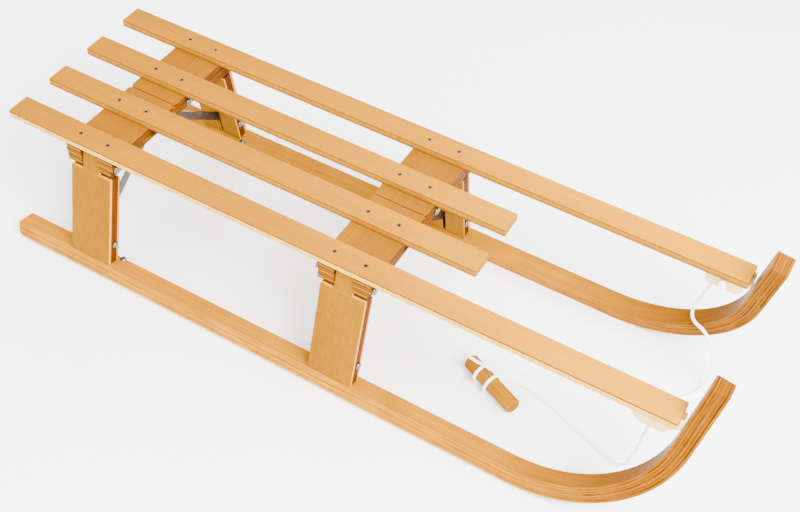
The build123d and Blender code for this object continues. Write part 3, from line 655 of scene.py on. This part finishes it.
RR = 0.01455
hitch_pts = [Vector((r1.x, r1.y, G)), HA + HD * 0.0282 + HN * 0.0075 + Vector((0, 0, G - 0.0172))]
for k in range(0, 13):
    d = -90 - k * 22.5              # under, up the -n side, over the top
    hitch_pts.append(wrap(28.3 - 0.9 * k / 12, d, RR))
hitch_pts += [wrap(28.5, -382, RR + 0.0004), wrap(33.0, -394, RR + 0.0012), wrap(39.0, -397, RR + 0.0014), wrap(44.5, -393, RR + 0.0012), wrap(48.5, -382, RR + 0.0004)]
for k in range(0, 13):
    d = -360 + k * 22.5
    hitch_pts.append(wrap(49.6 + 2.2 * math.sin(math.pi * k / 12), d, RR))
hitch_pts += [HA + HD * 0.0490 + HN * 0.0075 + Vector((0, 0, G - 0.0172)), Vector((r2.x, r2.y, G))]
bm = bmesh.new()
rope_mesh(bm, resample(spline_points([tuple(p) for p in hitch_pts], 10), 0.0009), cap=(False, False))
# short end of the rope lying along the back of the handle
tail = [wrap(37.0, 62, RR + 0.0002), wrap(31.0, 76, RR + 0.0024), wrap(25.5, 84, RR + 0.0030), wrap(20.0, 92, RR + 0.0004), wrap(12.0, 99, RR), wrap(3.0, 108, RR),
        wrap(-3.5, 114, RR - 0.0012), wrap(-7.5, 120, RR - 0.0046), wrap(-9.5, 124, RR - 0.0090)]
rope_mesh(bm, resample(spline_points([tuple(p) for p in tail], 10), 0.0009))
hitch = new_obj("rope_hitch_turns", bm, ROPE)
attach(hitch, "left_side")
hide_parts("rope_hitch")


def knot(name, centre, out, span, node):
    """Overhand stopper: a tight three-lobed turn against the clip, and the rope through the eye."""
    bm = bmesh.new()
    ax = Vector(out)
    e1, e2 = Vector((1, 0, 0)), ax.cross(Vector((1, 0, 0)))
    pts = []
    for k in range(121):
        t = 2 * math.pi * k / 120
        rad = 0.0029 + 0.0010 * math.cos(3 * t)
        q = e1 * (rad * math.cos(2 * t)) + e2 * (rad * math.sin(2 * t)) + ax * (0.0048 + 0.0020 * math.sin(3 * t))
        pts.append(Vector(centre) + q)
    rope_mesh(bm, pts, radius=0.0024, ring=16, cap=(False, False), lay=0.012)
    n = 26
    rope_mesh(bm, [Vector(centre) + ax * (0.0045 - (0.0045 + span) * k / (n - 1)) for k in range(n)], ring=16)
    rope_mesh(bm, [Vector(centre) + ax * (0.0045 + 0.0011 * k) + e2 * 0.0006 * k for k in range(5)], ring=16)
    o = new_obj(name, bm, ROPE)
    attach(o, "seat")
    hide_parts(node)
    return o


knot_r = knot("knot_right", (0.4768, -0.1332, 0.2120), (0, -1, 0), 0.0118, "rope_knot_right")
knot_l = knot("knot_left", (0.4768, 0.1210, 0.2120), (0, -1, 0), 0.0248, "rope_knot_left")
print("rope lengths", round(length_of(left_line), 4), round(length_of(right_line), 4), "hitch", round(length_of(hitch_pts), 4))


# ------------------------------------------------------------------ screw heads
def screw_head(bm, cx, cy, z, r, turn):
    """Flat countersunk head with a driven cross recess."""
    n, rings = 48, 9
    c, s = math.cos(turn), math.sin(turn)
    prev = None
    centre = bm.verts.new((cx, cy, z - 0.0013))
    for j in range(1, rings + 1):
        rr = r * j / rings
        row = []
        for k in range(n):
            a = 2 * math.pi * k / n
            px, py = rr * math.cos(a), rr * math.sin(a)
            u, v = abs(px * c + py * s), abs(-px * s + py * c)
            arm, cross = max(u, v), min(u, v)
            deep = 0.0
            if arm < 0.70 * r and cross < 0.24 * r:
                deep = 0.0013 * (1 - arm / (0.70 * r)) ** 0.5
            row.append(bm.verts.new((cx + px, cy + py, z - deep - (0.0001 if j == rings else 0))))
        for k in range(n):
            if prev is None:
                bm.faces.new((centre, row[k], row[(k + 1) % n]))
            else:
                bm.faces.new((prev[k], row[k], row[(k + 1) % n], prev[(k + 1) % n]))
        prev = row
    low = [bm.verts.new((cx + 0.002 * math.cos(2 * math.pi * k / n), cy + 0.002 * math.sin(2 * math.pi * k / n), z - 0.0023)) for k in range(n)]
    deep = [bm.verts.new((v.co.x, v.co.y, z - 0.0175)) for v in low]
    for a, b in ((prev, low), (low, deep)):
        for k in range(n):
            bm.faces.new((a[k], b[k], b[(k + 1) % n], a[(k + 1) % n]))
    tip = bm.verts.new((cx, cy, z - 0.0192))
    for k in range(n):
        bm.faces.new((deep[k], tip, deep[(k + 1) % n]))


SCREW_X = [X0 + 0.148 - 0.026, X0 + 0.148 + 0.0235, X0 + 0.586 - 0.026, X0 + 0.586 + 0.0235]
for row, node in ((-1.5, "screws_outer_right"), (-0.5, "screws_inner_right"), (0.5, "screws_inner_left"), (1.5, "screws_outer_left")):
    bm = bmesh.new()
    for sx in SCREW_X:
        screw_head(bm, sx, row * 0.089, 0.235 - 0.0003, 0.00376, random.uniform(0, math.pi))
    bmesh.ops.recalc_face_normals(bm, faces=bm.faces)
    o = new_obj(f"{node}_heads", bm, SCREW, smooth=False)
    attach(o, "seat")
    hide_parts(node)


# ------------------------------------------------------------------ domed nails in the runners, ahead of the rear legs
def dome(bm, c, n, r, h):
    n = Vector(n).normalized()
    u = n.orthogonal().normalized()
    w = n.cross(u)
    seg, prev = 40, None
    for j in range(9):
        a = math.pi / 2 * j / 8
        rr, hh = r * math.cos(a), h * math.sin(a)
        if j == 8:
            v = bm.verts.new(Vector(c) + n * hh)
            for k in range(seg):
                bm.faces.new((prev[k], prev[(k + 1) % seg], v))
            break
        row = [bm.verts.new(Vector(c) + n * hh + (u * math.cos(2 * math.pi * k / seg) + w * math.sin(2 * math.pi * k / seg)) * rr) for k in range(seg)]
        if prev:
            for k in range(seg):
                bm.faces.new((prev[k], prev[(k + 1) % seg], row[(k + 1) % seg], row[k]))
        else:
            low = [bm.verts.new(v.co - n * 0.004) for v in row]
            for k in range(seg):
                bm.faces.new((low[k], low[(k + 1) % seg], row[(k + 1) % seg], row[k]))
            bm.faces.new(low[::-1])
        prev = row


for sgn, side in ((-1, "right"), (1, "left")):
    bm = bmesh.new()
    up_n = Vector((0, sgn * SL, CL))
    a0 = Vector((-0.3600, sgn * (RUN_Y - 0.0255 * SL - 0.0275 * CL), RUN_Z + 0.0255 * CL - 0.0275 * SL))
    dome(bm, a0, up_n, 0.0056, 0.0038)
    bmesh.ops.recalc_face_normals(bm, faces=bm.faces)
    o = new_obj(f"runner_nail_{side}", bm, STEEL)
    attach(o, f"{side}_side")


# ------------------------------------------------------------------ floor and light
me = bpy.data.meshes.new("floor")
me.from_pydata([(-30, -30, 0), (30, -30, 0), (30, 30, 0), (-30, 30, 0)], [], [(0, 1, 2, 3)])
floor = bpy.data.objects.new("floor", me)
scene.collection.objects.link(floor)
wf = Mat("floor_paper", rough=0.9, spec=0.1)
fn = wf.noise(wf.mul(wf.co, (3.0, 3.0, 3.0)), 2.0, 2.0)
wf.base(wf.mix(fn, (0.90, 0.90, 0.90, 1), (0.93, 0.93, 0.93, 1)))
me.materials.append(wf.m)

world = bpy.data.worlds.new("studio")
scene.world = world
world.use_nodes = True
world.node_tree.nodes["Background"].inputs[0].default_value = (1.0, 1.0, 1.0, 1)
world.node_tree.nodes["Background"].inputs[1].default_value = 2.7


def area(name, loc, target, size, power, col=(1, 1, 1)):
    d = bpy.data.lights.new(name, "AREA")
    d.shape = "RECTANGLE"
    d.size, d.size_y = size
    d.energy = power
    d.color = col
    o = bpy.data.objects.new(name, d)
    scene.collection.objects.link(o)
    o.location = loc
    o.rotation_mode = "QUATERNION"
    o.rotation_quaternion = (Vector(target) - Vector(loc)).to_track_quat("-Z", "Y")
    return o


area("key", (1.7, -0.9, 2.3), (0.35, 0, 0.1), (1.7, 1.7), 520, (1.0, 0.99, 0.97))
area("fill", (-1.6, -2.2, 1.8), (0, 0, 0.1), (2.2, 1.6), 90, (0.97, 0.985, 1.0))
area("back", (-0.8, 2.2, 2.2), (0, 0, 0.1), (2.4, 1.2), 90)
